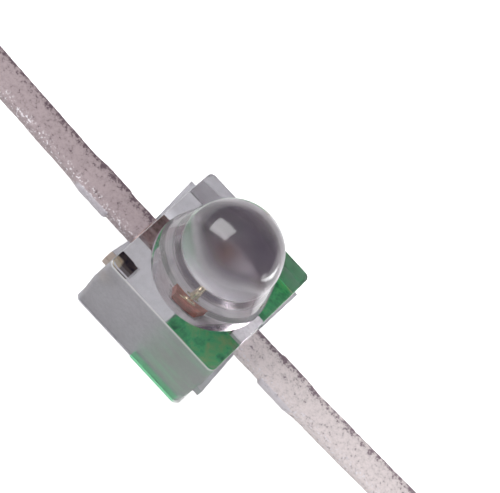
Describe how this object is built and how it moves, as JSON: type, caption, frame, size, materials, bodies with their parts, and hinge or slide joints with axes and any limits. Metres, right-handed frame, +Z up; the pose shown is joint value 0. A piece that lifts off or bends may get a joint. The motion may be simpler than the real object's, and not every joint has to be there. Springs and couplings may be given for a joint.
{
  "type": "smd led lamp",
  "caption": "Subminiature LED lamp: clear epoxy block with a domed lens, flat axial leads that rise gently outwards, a wired chip inside and a green polarity mark.",
  "frame": {"origin": "middle of the block's underside, where the lamp stands", "axes": "+X along the leads towards the cathode, +Y across the leads towards the bond arm, +Z up through the lens"},
  "size_m": [0.0232, 0.0024, 0.0029],
  "materials": {
    "clear_epoxy": "clear cast epoxy, polished on the lens and the top face, matt on the sides and the underside",
    "tinned_copper": "copper alloy sheet with a mottled dull tin coat outside the block",
    "bare_copper": "sheared copper alloy, dulled",
    "chip": "sawn semiconductor, reddish brown",
    "silver_paste": "cured silver-filled paste, satin",
    "gold": "bright gold",
    "green_coat": "thin green ink, matt"
  },
  "bodies": {
    "root": {"epoxy_body": "clear_epoxy", "cathode_lead": "tinned_copper", "anode_lead": "tinned_copper", "support_tab": "bare_copper", "led_chip": "chip", "silver_paste": "silver_paste", "chip_contact": "gold", "bond_wire": "gold", "polarity_mark": "green_coat"}
  },
  "joints": []
}
